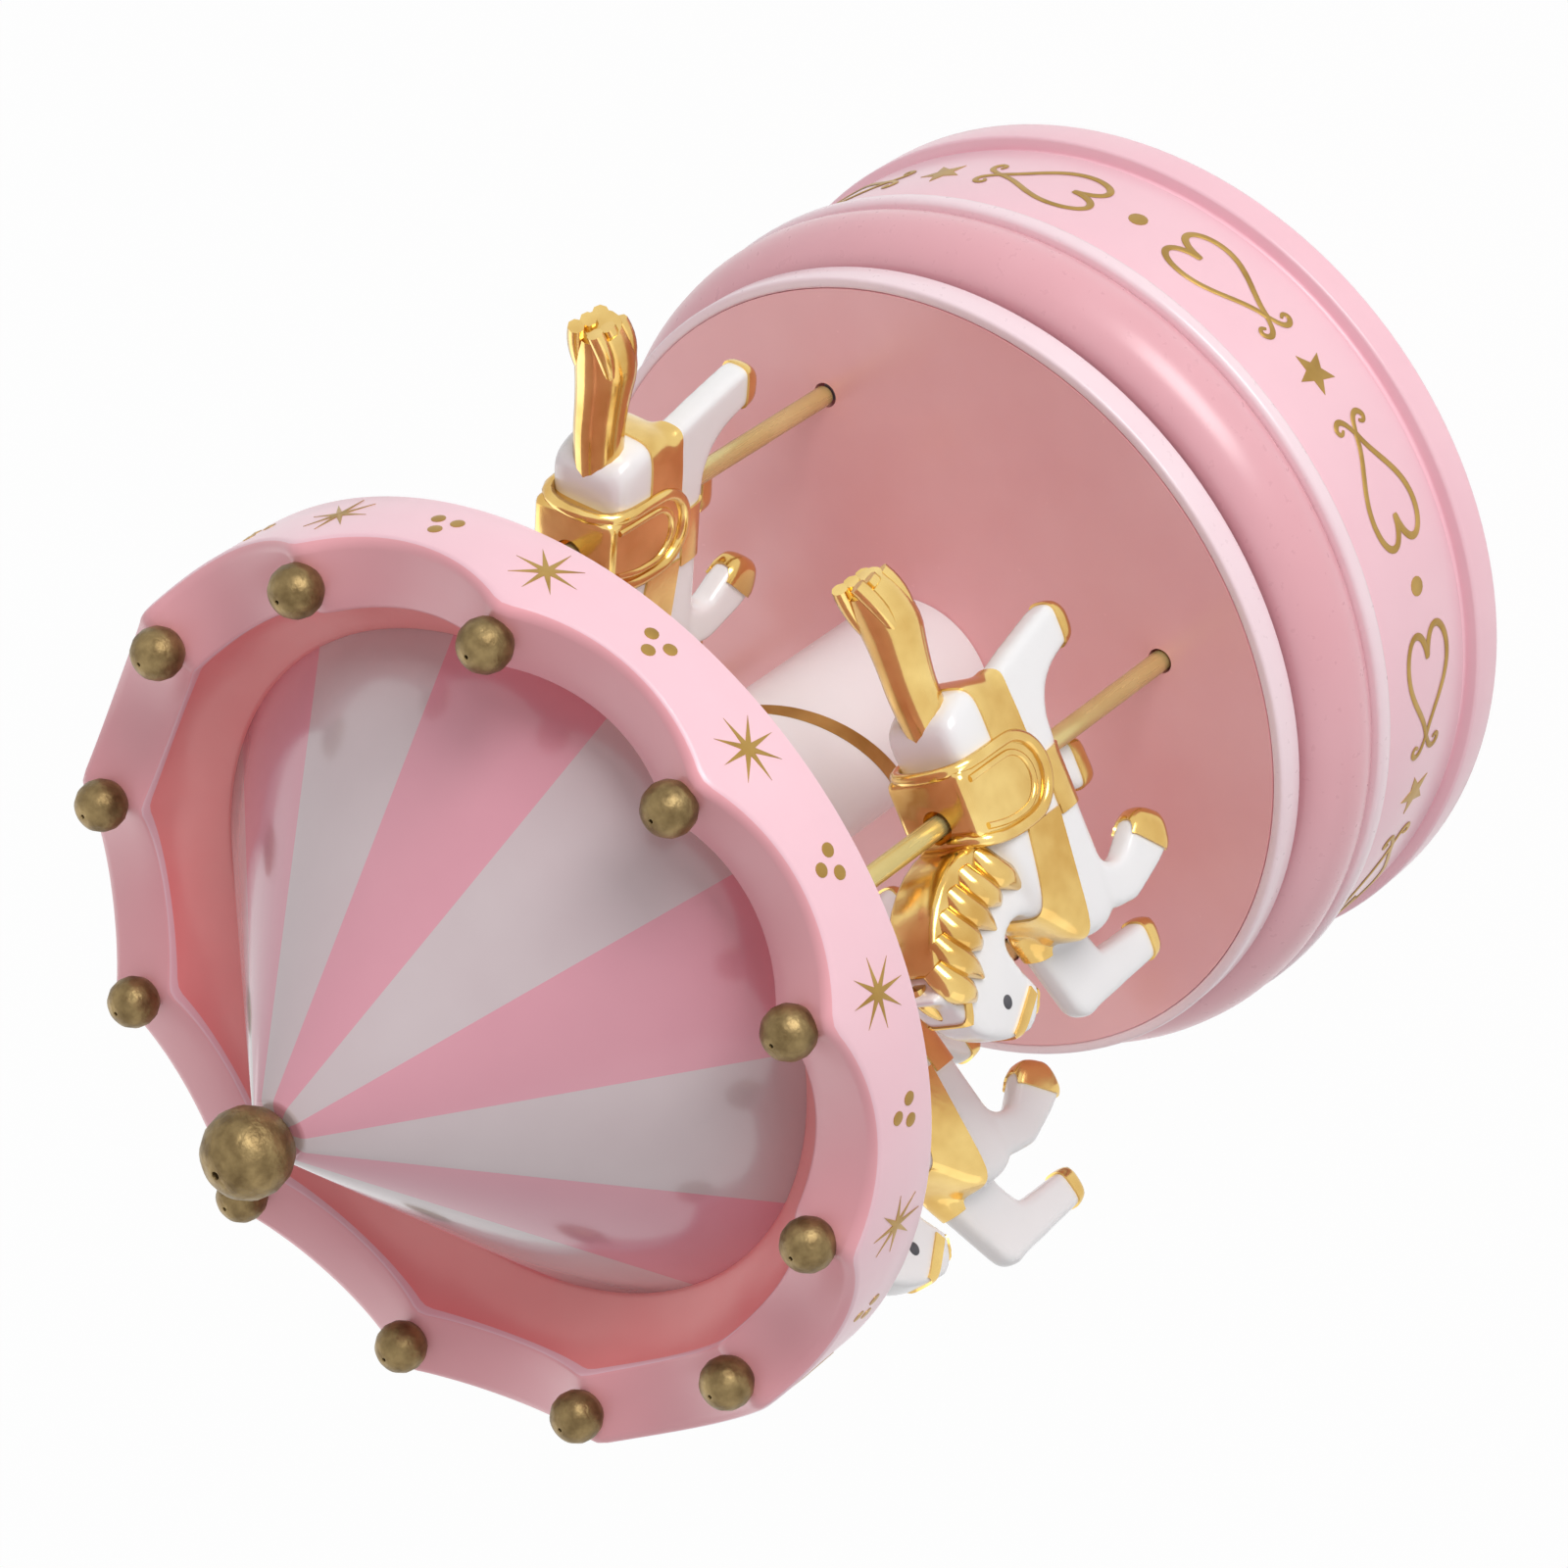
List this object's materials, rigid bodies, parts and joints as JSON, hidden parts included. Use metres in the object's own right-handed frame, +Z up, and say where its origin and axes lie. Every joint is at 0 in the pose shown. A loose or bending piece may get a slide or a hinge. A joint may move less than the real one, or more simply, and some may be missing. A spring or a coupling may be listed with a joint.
{
  "type": "carousel music box",
  "caption": "Wind-up carousel music box: pink drum base, turning deck, striped cone canopy with gold beads, white horses with gold tack rising and turning on thin gold poles",
  "frame": {"origin": "centre of the foot's underside, on the axis of the spindle", "axes": "+Z up the spindle, -Y through the front horse's pole, +X through the pole of the horse on its right-hand side"},
  "size_m": [0.1304, 0.11, 0.1669],
  "materials": {
    "pink_plastic": "pale pink moulded plastic, glossy, with a gold print",
    "salmon_plastic": "salmon pink moulded plastic, satin",
    "white_plastic": "white moulded plastic, glossy",
    "horse_plastic": "white moulded plastic with gold-coated tack, mane, tail and hooves",
    "roof_plastic": "moulded plastic in pink and white stripes",
    "gold_metal": "satin gold plating",
    "brass": "plain turned brass",
    "steel": "bright steel",
    "black_plastic": "dark moulded plastic"
  },
  "bodies": {
    "base": {"base_drum": "pink_plastic", "trim_ring": "pink_plastic", "base_top": "pink_plastic", "bottom_cover": "white_plastic", "cover_screws": "steel", "swash_ring": "white_plastic", "spindle_bush": "brass", "bedplate": "steel", "bedplate_screws": "steel", "inner_plate": "steel", "outer_plate": "steel", "comb": "steel", "comb_block": "steel", "comb_screws": "brass", "click_spring": "steel"},
    "carousel": {"deck": "salmon_plastic", "deck_rim": "pink_plastic", "spindle": "steel", "spindle_nut": "steel", "spring_barrel": "brass", "barrel_lid": "brass", "mainspring": "steel", "column": "white_plastic", "canopy_ceiling": "pink_plastic", "canopy_crown": "pink_plastic", "canopy_roof": "roof_plastic", "crown_beads": "gold_metal", "finial": "gold_metal"},
    "key": {"winding_key": "steel", "winding_arbor": "steel", "ratchet_wheel": "steel"},
    "cylinder": {"pin_cylinder": "brass", "cylinder_arbor": "steel", "cylinder_pinion": "brass", "cylinder_wheel": "brass"},
    "idler": {"idler_wheel": "brass", "idler_arbor": "steel"},
    "fly": {"fly_arbor": "steel", "fly_pinion": "brass", "fly_vanes": "black_plastic"},
    "pole_body_1": {"pole_1": "gold_metal"},
    "horse_body_1": {"horse_1": "horse_plastic"},
    "pole_body_2": {"pole_2": "gold_metal"},
    "horse_body_2": {"horse_2": "horse_plastic"},
    "pole_body_3": {"pole_3": "gold_metal"},
    "horse_body_3": {"horse_3": "horse_plastic"},
    "pole_body_4": {"pole_4": "gold_metal"},
    "horse_body_4": {"horse_4": "horse_plastic"}
  },
  "joints": [
    {"name": "carousel_spin", "type": "hinge", "parent": "base", "child": "carousel", "pos_m": [0, 0, 0.0285], "axis": [0, 0, 1], "continuous": true},
    {"name": "key_wind", "type": "hinge", "parent": "base", "child": "key", "pos_m": [0, 0, 0.0045], "axis": [0, 0, 1], "range_deg": [0, 1260]},
    {"name": "cylinder_spin", "type": "hinge", "parent": "base", "child": "cylinder", "pos_m": [0.025, 0, 0.02095], "axis": [1, 0, 0], "continuous": true},
    {"name": "idler_spin", "type": "hinge", "parent": "base", "child": "idler", "pos_m": [0.025, 0.01014, 0.01823], "axis": [1, 0, 0], "continuous": true},
    {"name": "fly_spin", "type": "hinge", "parent": "base", "child": "fly", "pos_m": [0.025, 0.01739, 0.02017], "axis": [1, 0, 0], "continuous": true},
    {"name": "pole_slide_1", "type": "slide", "parent": "carousel", "child": "pole_body_1", "axis": [0, 0, 1], "range_m": [-0.0047, 0.0049]},
    {"name": "horse_turn_1", "type": "hinge", "parent": "pole_body_1", "child": "horse_body_1", "pos_m": [0, -0.0365, 0.0774], "axis": [0, 0, 1], "range_deg": [-24, 24]},
    {"name": "pole_slide_2", "type": "slide", "parent": "carousel", "child": "pole_body_2", "axis": [0, 0, 1], "range_m": [-0.0084, 0.0012]},
    {"name": "horse_turn_2", "type": "hinge", "parent": "pole_body_2", "child": "horse_body_2", "pos_m": [0.0365, 0, 0.0811], "axis": [0, 0, 1], "range_deg": [-14, 8]},
    {"name": "pole_slide_3", "type": "slide", "parent": "carousel", "child": "pole_body_3", "axis": [0, 0, 1], "range_m": [-0.0042, 0.0054]},
    {"name": "horse_turn_3", "type": "hinge", "parent": "pole_body_3", "child": "horse_body_3", "pos_m": [0, 0.0365, 0.0769], "axis": [0, 0, 1], "range_deg": [-12, 24]},
    {"name": "pole_slide_4", "type": "slide", "parent": "carousel", "child": "pole_body_4", "axis": [0, 0, 1], "range_m": [-0.0003, 0.0093]},
    {"name": "horse_turn_4", "type": "hinge", "parent": "pole_body_4", "child": "horse_body_4", "pos_m": [-0.0365, 0, 0.073], "axis": [0, 0, 1], "range_deg": [0, 24]}
  ],
  "couplings": [
    {"joint": "cylinder_spin", "follows": "carousel_spin", "ratio": 4},
    {"joint": "idler_spin", "follows": "carousel_spin", "ratio": -3},
    {"joint": "fly_spin", "follows": "carousel_spin", "ratio": 12}
  ]
}
